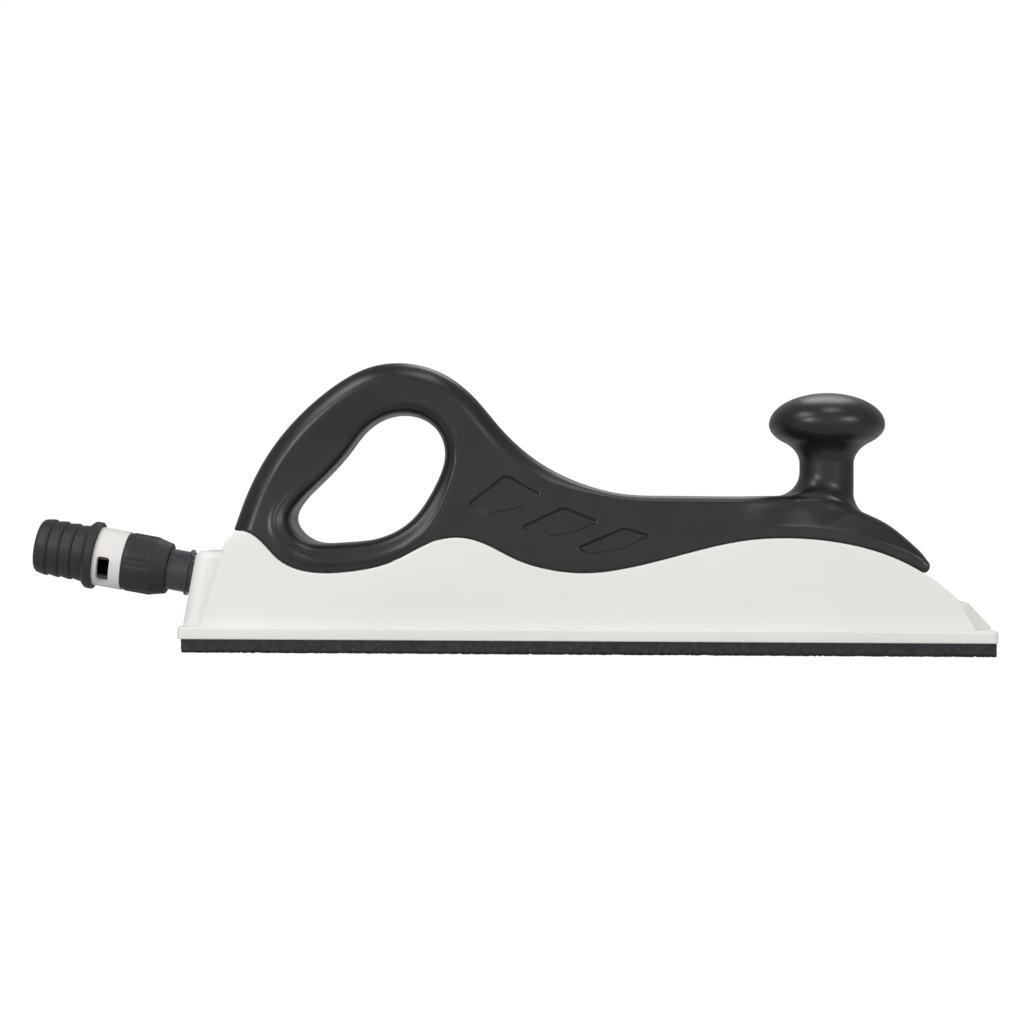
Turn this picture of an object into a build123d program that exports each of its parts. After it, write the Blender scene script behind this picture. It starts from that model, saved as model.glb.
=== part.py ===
"""A hand sanding block with dust extraction: a long hollow housing on a foam pad, a two-shell
handle with a loop grip and a front knob, and a swivelling hose connector with a bleed regulator.

Frame, in millimetres: origin at the centre of the sanding face, +Z up, +X towards the knob,
+Y to the operator's left. The hose connector points along -X and a little upwards.
"""

import os
from math import cos, radians, sin, tan

from build123d import *

# Pad and flange
PAD_LENGTH = 400.0
PAD_WIDTH = 70.0
PAD_CORNER = 2.0
HOOK_THICKNESS = 1.4
FOAM_THICKNESS = 5.3
FLANGE_BOTTOM = HOOK_THICKNESS + FOAM_THICKNESS
FLANGE_HEIGHT = 6.0
FLANGE_TOP = FLANGE_BOTTOM + FLANGE_HEIGHT
FLANGE_REAR_X = -201.8
FLANGE_FRONT_X = 200.6
FLANGE_LENGTH = FLANGE_FRONT_X - FLANGE_REAR_X
FLANGE_MIDDLE_X = (FLANGE_FRONT_X + FLANGE_REAR_X) / 2
FLANGE_WIDTH = 71.0

# Dust holes through the hook layer, the foam and the base plate
DUST_HOLE_RADIUS = 4.0
DUST_HOLE_PITCH = 58.0
DUST_HOLES_PER_ROW = 7
DUST_ROW_SPACING = 40.0

# Base plate, let into the underside of the flange over a foam gasket
PLATE_LENGTH = 388.0
PLATE_WIDTH = 60.0
PLATE_THICKNESS = 3.0
PLATE_CLEARANCE = 0.2
PLATE_TOP = FLANGE_BOTTOM + PLATE_THICKNESS
GASKET_THICKNESS = 0.8
GASKET_BAND = 3.6
LEDGE_Z = PLATE_TOP + GASKET_THICKNESS
PLATE_SCREW_PLACES = [(x, y) for x in (-145, -29, 29, 145) for y in (-22, 22)]
PLATE_SCREW_RADIUS = 1.7
PLATE_SCREW_LENGTH = 13.0
PLATE_SCREW_HEAD_RADIUS = 3.4
PLATE_BOSS_RADIUS = 4.2
PLATE_BOSS_TOP = 26.0

# Housing
HOUSING_HALF_WIDTH = 28.5
FLANK_EDGE_RADIUS = 1.2
WALL = 2.6
SEAM = 0.2
CREST_LINE = [
    (-180.6, 48.7),
    (-178.2, 55.8),
    (-171.5, 59.5),
    (-165.6, 57.5),
    (-153.1, 45.6),
    (-142.5, 40.5),
    (-131.0, 39.1),
    (-115.0, 40.3),
    (-98.0, 44.5),
    (-79.0, 54.0),
    (-65.5, 57.0),
    (-53.5, 54.7),
    (-36.0, 46.3),
    (-20.0, 41.5),
    (-2.0, 39.8),
    (20.0, 42.6),
    (53.6, 51.2),
    (76.0, 56.1),
    (98.0, 57.6),
    (125.0, 55.3),
    (148.0, 49.2),
    (168.0, 39.0),
    (182.0, 27.8),
]
FLANK_REAR_FOOT = (-191.6, FLANGE_TOP)
FLANK_FRONT_FOOT = (191.6, FLANGE_TOP)
HOOD_HALF_WIDTH = 23.0
HOOD_TOP = 49.4
HOOD_FRONT_X = -176.0
NOSE_PROFILE = [(176.0, FLANGE_TOP), (176.0, 26.4), (187.0, 26.4), (200.0, 14.0), (200.0, FLANGE_TOP)]
NOSE_PLAN = [(176.0, -27.5), (186.0, -27.5), (200.0, -20.5), (200.0, 20.5), (186.0, 27.5), (176.0, 27.5)]

# Hose connector: its axis leaves the rear of the housing and rises
AXIS_TILT = 10.0
PORT_CENTRE = (-197.6, 0, 37.5)
OUTWARD = (-cos(radians(AXIS_TILT)), 0, sin(radians(AXIS_TILT)))
CONNECTOR_AXIS = Axis(PORT_CENTRE, OUTWARD)
PROFILE_PLANE = Plane(
    origin=PORT_CENTRE,
    x_dir=(sin(radians(AXIS_TILT)), 0, cos(radians(AXIS_TILT))),
    z_dir=(0, -1, 0),
)
PORT_PLANE = Plane(origin=PORT_CENTRE, x_dir=(0, 1, 0), z_dir=OUTWARD)
RUNNING_GAP = 0.08
TUBE_RADIUS = 10.4
COLLAR_RADIUS = 11.7
COLLAR_START = 3.2
COLLAR_END = 4.6
TUBE_INNER_RADIUS = 9.0
TUBE_START = -16.0
PORT_BORE_RADIUS = TUBE_RADIUS + RUNNING_GAP
PORT_BORE_LENGTH = 12.6
PORT_BOSS_RADIUS = 13.4
PORT_SEAL_RADIUS = 11.6
PORT_SEAL_DEPTH = 2.0
CLIP_GROOVE_RADIUS = 9.8
CLIP_RADIUS = 11.4
CLIP_THICKNESS = 1.1
BARREL_START = 17.0
BARREL_RADIUS = 11.9
BARREL_END = 49.0
SPIGOT_RADIUS = 10.9
SPIGOT_END = 62.2
REGULATOR_BORE_RADIUS = BARREL_RADIUS + RUNNING_GAP
O_RING_START = 20.0
O_RING_WIDTH = 1.8
O_RING_SEAT_RADIUS = 10.7
SLEEVE_START = 14.2
SLEEVE_SHOULDER = 20.9
SLEEVE_END = 36.5
SLEEVE_RADIUS = 14.4
RING_RADIUS = 14.9
RING_END = 50.9
KEY_LENGTH = 2.4
KEY_RADIUS = 13.4
GRIP_RIB_COUNT = 10
GRIP_RIB_WIDTH = 3.2
GRIP_RIB_FIRST_ANGLE = -107.0
WINDOW_START = 42.1
WINDOW_END = 48.5
TUBE_WINDOW_ARC = 54.0
TUBE_WINDOW_FIRST_ANGLE = -147.0
RING_WINDOW_ARC = 67.0
RING_WINDOW_FIRST_ANGLE = -154.0
CUFF_START = 51.0
CUFF_FLANGE_RADIUS = 17.1
CUFF_FLANGE_END = 56.4
CUFF_END = 81.3
CUFF_BORE_RADIUS = 10.6
BARB_COUNT = 4
BARB_PITCH = 6.1
BARB_RADIUS = 14.3
BARB_ROOT_RADIUS = 13.5

# Handle outlines in the side view, as (x, z)
SPINE_LINE = [
    (-176.4, 60.4),
    (-172.0, 74.6),
    (-165.6, 89.7),
    (-156.2, 104.9),
    (-142.7, 120.2),
    (-127.2, 133.1),
    (-109.3, 142.4),
    (-92.1, 144.2),
    (-73.5, 139.3),
    (-56.9, 126.8),
    (-44.4, 112.3),
    (-24.2, 94.6),
    (-3.8, 84.4),
    (16.7, 79.2),
    (40.0, 78.3),
    (80.0, 78.3),
    (112.0, 78.2),
    (126.0, 75.6),
    (137.3, 70.7),
    (147.8, 65.6),
    (156.0, 59.4),
    (161.9, 53.9),
    (164.9, 50.8),
    (167.2, 47.6),
]
LOOP_LINE = [
    (-148.3, 64.9),
    (-144.3, 74.3),
    (-136.8, 82.2),
    (-128.7, 90.3),
    (-120.6, 99.7),
    (-112.6, 110.0),
    (-104.9, 115.8),
    (-93.2, 118.7),
    (-81.3, 115.4),
    (-73.4, 106.2),
    (-71.9, 98.0),
    (-75.3, 85.6),
    (-80.2, 76.0),
    (-88.2, 65.4),
    (-96.8, 59.3),
    (-109.0, 55.3),
    (-125.3, 53.6),
    (-137.8, 54.1),
    (-145.0, 58.6),
]
NOSE_TIP = (168.2, 43.4)
FOOT_END = (165.6, 40.8)
HANDLE_HALF_WIDTH = 28.0
SIDE_LINE = [
    (HANDLE_HALF_WIDTH, 30.0),
    (HANDLE_HALF_WIDTH, 46.0),
    (26.6, 58.0),
    (23.0, 73.0),
    (19.4, 88.0),
    (18.0, 103.0),
    (18.0, 130.0),
    (18.0, 160.0),
]
HANDLE_WALL = 4.5
SIDE_WALL = 3.6
SPINE_FILLET = 5.0
LOOP_FILLET = 4.0
KNOB_X = 121.4
KNOB_Z = 115.0
KNOB_RADIUS = 29.1
KNOB_HEIGHT_ABOVE = 16.0
KNOB_HEIGHT_BELOW = 13.4
NECK_RADIUS = 13.6
NECK_WALL = 4.0
PANEL_DEPTH = 1.2
PANELS = [
    [(-41.3, 88.6), (-23.5, 78.5), (-35.0, 72.6), (-49.5, 68.3), (-61.1, 73.1)],
    [(-12.6, 72.5), (5.1, 65.4), (-7.0, 60.2), (-21.6, 57.1), (-34.3, 62.3)],
    [(17.4, 62.6), (31.0, 58.6), (17.5, 52.0), (-0.2, 48.6), (-6.4, 52.3)],
]

# Screws that hold the two handle shells together, put in from the left side
CLAMP_PLACES = [(-160.5, 71), (-92, 132.4), (-50, 97), (45, 63), (KNOB_X, 92), (151, 55.5)]
CLAMP_SEAT_Y = 8.0
CLAMP_END_Y = -9.0
CLAMP_HEAD_RADIUS = 3.6
CLAMP_HEAD_HEIGHT = 2.6
SCREW_SHANK_RADIUS = 1.95
SCREW_HOLE_RADIUS = 2.05
CLAMP_BOSS_RADIUS = 6.0

# Screws that pull the handle down on the housing, put in from inside it: x and crest height
MOUNT_PLACES = [(-62, 56.8), (10, 40.9), (104, 57.5)]
MOUNT_SIDE_Y = 11.0
MOUNT_SEAT_DEPTH = 8.0
MOUNT_REACH = 11.0
MOUNT_BOSS_RADIUS = 4.8
MOUNT_HEAD_RADIUS = 3.6
MOUNT_HEAD_HEIGHT = 2.6


def turn(*outline):
    """Revolves an outline of (radius, distance out from the port) about the connector's axis."""
    with BuildSketch(PROFILE_PLANE) as profile:
        with BuildLine():
            Polyline(*outline, close=True)
        make_face()
    revolve(profile.sketch, axis=CONNECTOR_AXIS)


def dust_holes(plane, depth):
    """Cuts the two rows of dust holes upwards from a plane."""
    with BuildSketch(plane) as holes:
        with GridLocations(DUST_HOLE_PITCH, DUST_ROW_SPACING, DUST_HOLES_PER_ROW, 2):
            Circle(DUST_HOLE_RADIUS)
    extrude(holes.sketch, amount=depth, mode=Mode.SUBTRACT)


def bleed_window(inner_radius, outer_radius, arc, first_angle):
    """Cuts the bleed window through a round wall of the connector."""
    with BuildSketch(PROFILE_PLANE) as opening:
        with BuildLine():
            Polyline(
                (inner_radius, WINDOW_START),
                (outer_radius, WINDOW_START),
                (outer_radius, WINDOW_END),
                (inner_radius, WINDOW_END),
                close=True,
            )
        make_face()
    window = revolve(opening.sketch, axis=CONNECTOR_AXIS, revolution_arc=arc, mode=Mode.PRIVATE)
    add(window.rotate(CONNECTOR_AXIS, first_angle), mode=Mode.SUBTRACT)


def inset(curve, distance, count, first=0.0, last=1.0):
    """Returns points at a distance to the right of a curve, from one share of its length to another."""
    points = []
    for number in range(count):
        share = first + (last - first) * number / (count - 1)
        heading = curve % share
        points.append(curve @ share + Vector(heading.Y, -heading.X) * distance)
    return points


def knob_crown(shell):
    """Returns points over the knob from its widest circle to its top, a distance inside its surface."""
    across = KNOB_RADIUS - shell
    up = KNOB_HEIGHT_ABOVE - shell
    return [(KNOB_X + across * cos(radians(a)), KNOB_Z + up * sin(radians(a))) for a in (0, 22, 45, 68, 90)]


def side_prism(side_line, outline):
    """Returns a solid with an outline seen from the side and a half width that varies with height."""
    with BuildPart(mode=Mode.PRIVATE) as prism:
        with BuildSketch(Plane.YZ.offset(-200)):
            with BuildLine():
                edge = Spline(*side_line)
                Polyline(edge @ 0, (0, side_line[0][1]), (0, side_line[-1][1]), edge @ 1)
            make_face()
            mirror(about=Plane.YZ)
        extrude(amount=400)
        extrude(outline, amount=60, both=True, mode=Mode.INTERSECT)
    return prism.part


# Pad: the hook layer that holds the abrasive, and the foam above it
with BuildPart() as hook_layer:
    with BuildSketch():
        RectangleRounded(PAD_LENGTH, PAD_WIDTH, PAD_CORNER)
    extrude(amount=HOOK_THICKNESS)
    dust_holes(Plane.XY, HOOK_THICKNESS)
hook_layer.part.label = "hook_layer"

with BuildPart() as foam_pad:
    with BuildSketch(Plane.XY.offset(HOOK_THICKNESS)):
        RectangleRounded(PAD_LENGTH, PAD_WIDTH, PAD_CORNER)
    extrude(amount=FOAM_THICKNESS)
    dust_holes(Plane.XY.offset(HOOK_THICKNESS), FOAM_THICKNESS)
foam_pad.part.label = "foam_pad"

# Base plate, its gasket and its countersunk screws
with BuildPart() as base_plate:
    with BuildSketch(Plane.XY.offset(FLANGE_BOTTOM)):
        RectangleRounded(PLATE_LENGTH - 2 * PLATE_CLEARANCE, PLATE_WIDTH - 2 * PLATE_CLEARANCE, 3)
    extrude(amount=PLATE_THICKNESS)
    dust_holes(Plane.XY.offset(FLANGE_BOTTOM), PLATE_THICKNESS)
    with Locations(Plane(origin=(0, 0, FLANGE_BOTTOM), z_dir=(0, 0, -1))):
        with Locations(*[(x, y) for x, y in PLATE_SCREW_PLACES]):
            CounterSinkHole(PLATE_SCREW_RADIUS + 0.1, PLATE_SCREW_HEAD_RADIUS + 0.1, PLATE_THICKNESS)
base_plate.part.label = "base_plate"

with BuildPart() as plate_gasket:
    with BuildSketch(Plane.XY.offset(PLATE_TOP)):
        RectangleRounded(PLATE_LENGTH - 1, PLATE_WIDTH - 1, 3)
        Rectangle(PLATE_LENGTH - 2 * GASKET_BAND, PLATE_WIDTH - 2 * GASKET_BAND, mode=Mode.SUBTRACT)
    extrude(amount=GASKET_THICKNESS)
plate_gasket.part.label = "plate_gasket"

with BuildPart() as plate_screws:
    with BuildSketch(Plane.XY.offset(FLANGE_BOTTOM)):
        with Locations(*PLATE_SCREW_PLACES):
            Circle(PLATE_SCREW_RADIUS)
    extrude(amount=PLATE_SCREW_LENGTH)
    with Locations(*[(x, y, FLANGE_BOTTOM) for x, y in PLATE_SCREW_PLACES]):
        Cone(
            PLATE_SCREW_HEAD_RADIUS,
            PLATE_SCREW_RADIUS,
            PLATE_SCREW_HEAD_RADIUS - PLATE_SCREW_RADIUS,
            align=(Align.CENTER, Align.CENTER, Align.MIN),
        )
    with BuildSketch(Plane.XY.offset(FLANGE_BOTTOM)):
        with Locations(*PLATE_SCREW_PLACES):
            Rectangle(3.2, 0.8)
            Rectangle(0.8, 3.2)
    extrude(amount=1.2, mode=Mode.SUBTRACT)
plate_screws.part.label = "plate_screws"

# Housing: flange, flanks under the crest line, hood with the hose port, and nose wedge
CREST = Spline(*CREST_LINE)

with BuildSketch(Plane.XZ) as flank_profile:
    with BuildLine():
        Polyline(CREST_LINE[-1], FLANK_FRONT_FOOT, FLANK_REAR_FOOT, CREST_LINE[0])
        Spline(*CREST_LINE)
    make_face()

with BuildSketch(Plane.XZ) as cavity_profile:
    with BuildLine():
        roof = Spline(*inset(CREST, WALL, 32, 0.01, 0.99))
        Polyline(
            roof @ 1,
            (FLANK_FRONT_FOOT[0] - WALL - 1, FLANGE_TOP),
            (FLANK_REAR_FOOT[0] + WALL, FLANGE_TOP),
            roof @ 0,
        )
    make_face()

FACE_RUN = tan(radians(AXIS_TILT))
HOOD_FOOT_X = PORT_CENTRE[0] - (PORT_CENTRE[2] - FLANGE_TOP) * FACE_RUN
HOOD_TOP_X = PORT_CENTRE[0] + (HOOD_TOP - PORT_CENTRE[2]) * FACE_RUN

with BuildPart() as flanks:
    extrude(flank_profile.sketch, amount=HOUSING_HALF_WIDTH, both=True)
    rim = edges().filter_by(lambda e: abs(e.center().Y) > 1 and e.center().Z > FLANGE_TOP + 1 and e.length > 16)
    fillet(rim, radius=FLANK_EDGE_RADIUS)

with BuildPart() as nose:
    with BuildSketch(Plane.XY):
        with BuildLine():
            Polyline(*NOSE_PLAN, close=True)
        make_face()
    extrude(amount=40)
    with BuildSketch(Plane.XZ):
        with BuildLine():
            Polyline(*NOSE_PROFILE, close=True)
        make_face()
    extrude(amount=40, both=True, mode=Mode.INTERSECT)

with BuildPart() as hood:
    with BuildSketch(Plane.XZ):
        with BuildLine():
            Polyline(
                (HOOD_FOOT_X, FLANGE_TOP),
                (HOOD_TOP_X, HOOD_TOP),
                (HOOD_FRONT_X, HOOD_TOP),
                (HOOD_FRONT_X, FLANGE_TOP),
                close=True,
            )
        make_face()
    extrude(amount=HOOD_HALF_WIDTH, both=True)
    fillet(faces().sort_by(Axis.X)[0].edges().filter_by(lambda e: abs(e.center().Y) > 1), radius=8)
    fillet(faces().sort_by(Axis.Z)[-1].edges().filter_by(lambda e: e.center().X < -178), radius=4)

with BuildPart() as housing:
    with BuildSketch(Plane.XY.offset(FLANGE_BOTTOM)):
        with Locations((FLANGE_MIDDLE_X, 0)):
            RectangleRounded(FLANGE_LENGTH, FLANGE_WIDTH, 3)
    extrude(amount=FLANGE_HEIGHT)
    fillet(edges().group_by(Axis.Z)[-1], radius=1.2)
    fillet(edges().group_by(Axis.Z)[0], radius=0.6)
    add(nose.part)
    add(hood.part)
    add(flanks.part)
    # hollow it from below
    extrude(cavity_profile.sketch, amount=HOUSING_HALF_WIDTH - WALL, both=True, mode=Mode.SUBTRACT)
    with BuildSketch(Plane.XY.offset(FLANGE_BOTTOM)):
        Rectangle(2 * 187.0, 2 * (HOUSING_HALF_WIDTH - WALL))
    extrude(amount=FLANGE_HEIGHT + WALL + 0.4, mode=Mode.SUBTRACT)
    with BuildSketch(Plane.XY.offset(FLANGE_BOTTOM)):
        RectangleRounded(PLATE_LENGTH, PLATE_WIDTH, 3)
    extrude(amount=LEDGE_Z - FLANGE_BOTTOM, mode=Mode.SUBTRACT)
    with BuildSketch(Plane.XZ):
        with BuildLine():
            Polyline(
                (HOOD_FOOT_X + WALL + 0.6, FLANGE_TOP + 2),
                (HOOD_TOP_X + WALL, HOOD_TOP - WALL),
                (HOOD_FRONT_X, HOOD_TOP - WALL),
                (HOOD_FRONT_X, FLANGE_TOP + 2),
                close=True,
            )
        make_face()
    extrude(amount=HOOD_HALF_WIDTH - 4, both=True, mode=Mode.SUBTRACT)
    # boss and bore of the hose port
    with BuildSketch(PORT_PLANE):
        Circle(PORT_BOSS_RADIUS)
    add(extrude(amount=-PORT_BORE_LENGTH, mode=Mode.PRIVATE) & hood.part)
    with BuildSketch(PORT_PLANE):
        Circle(PORT_BORE_RADIUS)
    extrude(amount=-PORT_BORE_LENGTH - 8, mode=Mode.SUBTRACT)
    with BuildSketch(PORT_PLANE):
        Circle(PORT_SEAL_RADIUS)
    extrude(amount=-PORT_SEAL_DEPTH, mode=Mode.SUBTRACT)
    # bosses for the plate screws stand on the plate, against the flanks
    with BuildSketch(Plane.XY.offset(PLATE_TOP)):
        with Locations(*PLATE_SCREW_PLACES):
            Circle(PLATE_BOSS_RADIUS)
    extrude(amount=PLATE_BOSS_TOP - PLATE_TOP)
    with BuildSketch(Plane.XY.offset(PLATE_TOP)):
        with Locations(*PLATE_SCREW_PLACES):
            Circle(PLATE_SCREW_RADIUS + 0.05)
    extrude(amount=PLATE_SCREW_LENGTH, mode=Mode.SUBTRACT)
    # pillars under the crest carry the heads of the handle's mounting screws
    for x, crest in MOUNT_PLACES:
        with BuildSketch(Plane.XY.offset(crest - MOUNT_SEAT_DEPTH)):
            with Locations((x, -MOUNT_SIDE_Y), (x, MOUNT_SIDE_Y)):
                Circle(MOUNT_BOSS_RADIUS)
        extrude(amount=MOUNT_SEAT_DEPTH - 1.5)
        with BuildSketch(Plane.XY.offset(crest - MOUNT_SEAT_DEPTH)):
            with Locations((x, -MOUNT_SIDE_Y), (x, MOUNT_SIDE_Y)):
                Circle(SCREW_HOLE_RADIUS)
        extrude(amount=MOUNT_SEAT_DEPTH + 2, mode=Mode.SUBTRACT)
housing.part.label = "housing"

# Handle: one outer body, hollowed, then split into two shells on the middle plane
SPINE = Spline(*SPINE_LINE)
FOOT_LINE = [(x, z + SEAM) for x, z in CREST_LINE[2:-2]] + [FOOT_END]
FOOT = Spline(*FOOT_LINE)
LOOP = Spline(*LOOP_LINE, periodic=True)

with BuildSketch(Plane.XZ) as handle_outline:
    with BuildLine():
        Spline(*SPINE_LINE)
        Polyline(SPINE_LINE[-1], NOSE_TIP, FOOT @ 1)
        Spline(*FOOT_LINE)
        Line(FOOT @ 0, SPINE_LINE[0])
    make_face()
    with BuildLine():
        Spline(*LOOP_LINE, periodic=True)
    make_face(mode=Mode.SUBTRACT)

with BuildSketch(Plane.XZ) as handle_cavity_outline:
    with BuildLine():
        roof = Spline(*inset(SPINE, HANDLE_WALL, 28, 0.02, 0.96))
        floor = Spline(*inset(FOOT, -HANDLE_WALL, 28, 0.02, 0.96))
        Line(roof @ 0, floor @ 0)
        Line(roof @ 1, floor @ 1)
    make_face()
    with BuildLine():
        Spline(*inset(LOOP, -HANDLE_WALL, 17)[:-1], periodic=True)
    make_face(mode=Mode.SUBTRACT)

with BuildSketch(Plane.XZ) as panel_region:
    for corners in PANELS:
        with BuildLine():
            Polyline(*corners, close=True)
        make_face()
    fillet(panel_region.vertices(), radius=3)

INNER_SIDE_LINE = [(y - SIDE_WALL, z) for y, z in SIDE_LINE]
PANEL_SIDE_LINE = [(y - PANEL_DEPTH, z) for y, z in SIDE_LINE]

with BuildPart() as handle_blank:
    add(side_prism(SIDE_LINE, handle_outline.sketch))
    rim = edges().filter_by(lambda e: e.length > 300 and e.center().Z > 80 and abs(e.center().Y) > 5)
    fillet(rim, radius=SPINE_FILLET)
    rim = edges().filter_by(lambda e: 190 < e.length < 250 and abs(e.center().Y) > 5)
    fillet(rim, radius=LOOP_FILLET)
    # knob on its flared neck
    with BuildSketch(Plane.XZ):
        with BuildLine():
            Polyline((KNOB_X, 70), (KNOB_X + 20.5, 70), (KNOB_X + 20.5, 74))
            Spline(
                (KNOB_X + 20.5, 74),
                (KNOB_X + 16.0, 79.8),
                (KNOB_X + NECK_RADIUS, 90),
                (KNOB_X + 14.6, 97),
                (KNOB_X + 18.4, 103.2),
                (KNOB_X + 26.2, 109.3),
                *knob_crown(0),
            )
            Line((KNOB_X, KNOB_Z + KNOB_HEIGHT_ABOVE), (KNOB_X, 70))
        make_face()
    revolve(axis=Axis((KNOB_X, 0, 0), (0, 0, 1)))

with BuildPart() as handle_cavity:
    add(side_prism(INNER_SIDE_LINE, handle_cavity_outline.sketch))
    with BuildSketch(Plane.XZ):
        with BuildLine():
            Polyline((KNOB_X, 70), (KNOB_X + NECK_RADIUS - NECK_WALL, 70), (KNOB_X + NECK_RADIUS - NECK_WALL, 100))
            Spline(
                (KNOB_X + NECK_RADIUS - NECK_WALL, 100),
                (KNOB_X + 22.0, 111.3),
                *knob_crown(4),
            )
            Line((KNOB_X, KNOB_Z + KNOB_HEIGHT_ABOVE - 4), (KNOB_X, 70))
        make_face()
    revolve(axis=Axis((KNOB_X, 0, 0), (0, 0, 1)))

with BuildPart() as handle_body:
    add(handle_blank.part)
    # shallow moulded panels on both sides
    extruded = extrude(panel_region.sketch, amount=40, both=True, mode=Mode.PRIVATE)
    add(extruded - side_prism(PANEL_SIDE_LINE, handle_outline.sketch), mode=Mode.SUBTRACT)
    add(handle_cavity.part, mode=Mode.SUBTRACT)
    # posts for the screws that pull the handle down on the housing
    for x, crest in MOUNT_PLACES:
        with BuildSketch(Plane.XY.offset(crest - 4)):
            with Locations((x, -MOUNT_SIDE_Y), (x, MOUNT_SIDE_Y)):
                Circle(MOUNT_BOSS_RADIUS)
        add(extrude(amount=MOUNT_REACH + 7, mode=Mode.PRIVATE) & handle_blank.part)
        with BuildSketch(Plane.XY.offset(crest - 4)):
            with Locations((x, -MOUNT_SIDE_Y), (x, MOUNT_SIDE_Y)):
                Circle(SCREW_HOLE_RADIUS)
        extrude(amount=MOUNT_REACH + 4, mode=Mode.SUBTRACT)

# Left shell, with the deep seats of the clamp screws
with BuildPart() as handle_left:
    add(handle_body.part)
    split(bisect_by=Plane.XZ, keep=Keep.BOTTOM)
    for x, z in CLAMP_PLACES:
        with BuildSketch(Plane.XZ):
            with Locations((x, z)):
                Circle(CLAMP_BOSS_RADIUS)
        add(extrude(amount=-30, mode=Mode.PRIVATE) & handle_blank.part)
        with BuildSketch(Plane.XZ):
            with Locations((x, z)):
                Circle(SCREW_HOLE_RADIUS)
        extrude(amount=-30, mode=Mode.SUBTRACT)
        with BuildSketch(Plane.XZ.offset(-CLAMP_SEAT_Y)):
            with Locations((x, z)):
                Circle(CLAMP_HEAD_RADIUS + 0.3)
        extrude(amount=-30, mode=Mode.SUBTRACT)
handle_left.part.label = "handle_left"

# Right shell, with blind posts for the clamp screws
with BuildPart() as handle_right:
    add(handle_body.part)
    split(bisect_by=Plane.XZ, keep=Keep.TOP)
    for x, z in CLAMP_PLACES:
        with BuildSketch(Plane.XZ):
            with Locations((x, z)):
                Circle(CLAMP_BOSS_RADIUS)
        add(extrude(amount=30, mode=Mode.PRIVATE) & handle_blank.part)
        with BuildSketch(Plane.XZ):
            with Locations((x, z)):
                Circle(SCREW_HOLE_RADIUS)
        extrude(amount=-CLAMP_END_Y, mode=Mode.SUBTRACT)
handle_right.part.label = "handle_right"

with BuildPart() as handle_clamp_screws:
    with BuildSketch(Plane.XZ.offset(-CLAMP_SEAT_Y)):
        with Locations(*CLAMP_PLACES):
            Circle(SCREW_SHANK_RADIUS)
    extrude(amount=CLAMP_SEAT_Y - CLAMP_END_Y - 0.6)
    with BuildSketch(Plane.XZ.offset(-CLAMP_SEAT_Y)):
        with Locations(*CLAMP_PLACES):
            Circle(CLAMP_HEAD_RADIUS)
    extrude(amount=-CLAMP_HEAD_HEIGHT)
    with BuildSketch(Plane.XZ.offset(-CLAMP_SEAT_Y - CLAMP_HEAD_HEIGHT)):
        with Locations(*CLAMP_PLACES):
            Rectangle(3.6, 0.9)
            Rectangle(0.9, 3.6)
    extrude(amount=1.4, mode=Mode.SUBTRACT)
handle_clamp_screws.part.label = "handle_clamp_screws"

with BuildPart() as handle_mount_screws:
    for x, crest in MOUNT_PLACES:
        with BuildSketch(Plane.XY.offset(crest - MOUNT_SEAT_DEPTH)):
            with Locations((x, -MOUNT_SIDE_Y), (x, MOUNT_SIDE_Y)):
                Circle(SCREW_SHANK_RADIUS)
        extrude(amount=MOUNT_SEAT_DEPTH + MOUNT_REACH - 0.6)
        with BuildSketch(Plane.XY.offset(crest - MOUNT_SEAT_DEPTH)):
            with Locations((x, -MOUNT_SIDE_Y), (x, MOUNT_SIDE_Y)):
                Circle(MOUNT_HEAD_RADIUS)
        extrude(amount=-MOUNT_HEAD_HEIGHT)
        with BuildSketch(Plane.XY.offset(crest - MOUNT_SEAT_DEPTH - MOUNT_HEAD_HEIGHT)):
            with Locations((x, -MOUNT_SIDE_Y), (x, MOUNT_SIDE_Y)):
                Rectangle(3.6, 0.9)
                Rectangle(0.9, 3.6)
        extrude(amount=1.4, mode=Mode.SUBTRACT)
handle_mount_screws.part.label = "handle_mount_screws"

# Hose connector: the tube that turns in the port, its seal and its clip
with BuildPart() as swivel_tube:
    turn(
        (TUBE_INNER_RADIUS, TUBE_START),
        (TUBE_RADIUS, TUBE_START),
        (TUBE_RADIUS, -PORT_BORE_LENGTH - RUNNING_GAP - CLIP_THICKNESS),
        (CLIP_GROOVE_RADIUS, -PORT_BORE_LENGTH - RUNNING_GAP - CLIP_THICKNESS),
        (CLIP_GROOVE_RADIUS, -PORT_BORE_LENGTH - RUNNING_GAP),
        (TUBE_RADIUS, -PORT_BORE_LENGTH - RUNNING_GAP),
        (TUBE_RADIUS, COLLAR_START),
        (COLLAR_RADIUS, COLLAR_START),
        (COLLAR_RADIUS, COLLAR_END),
        (TUBE_RADIUS, COLLAR_END),
        (TUBE_RADIUS, BARREL_START),
        (BARREL_RADIUS, BARREL_START),
        (BARREL_RADIUS, O_RING_START),
        (O_RING_SEAT_RADIUS, O_RING_START),
        (O_RING_SEAT_RADIUS, O_RING_START + O_RING_WIDTH),
        (BARREL_RADIUS, O_RING_START + O_RING_WIDTH),
        (BARREL_RADIUS, BARREL_END),
        (SPIGOT_RADIUS, BARREL_END),
        (SPIGOT_RADIUS, SPIGOT_END),
        (TUBE_INNER_RADIUS, SPIGOT_END),
    )
    bleed_window(TUBE_INNER_RADIUS - 1, BARREL_RADIUS + 1, TUBE_WINDOW_ARC, TUBE_WINDOW_FIRST_ANGLE)
swivel_tube.part.label = "swivel_tube"

with BuildPart() as port_seal:
    turn(
        (PORT_BORE_RADIUS, -PORT_SEAL_DEPTH),
        (PORT_SEAL_RADIUS, -PORT_SEAL_DEPTH),
        (PORT_SEAL_RADIUS, 0.4),
        (PORT_BORE_RADIUS, 0.4),
    )
port_seal.part.label = "port_seal"

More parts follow.
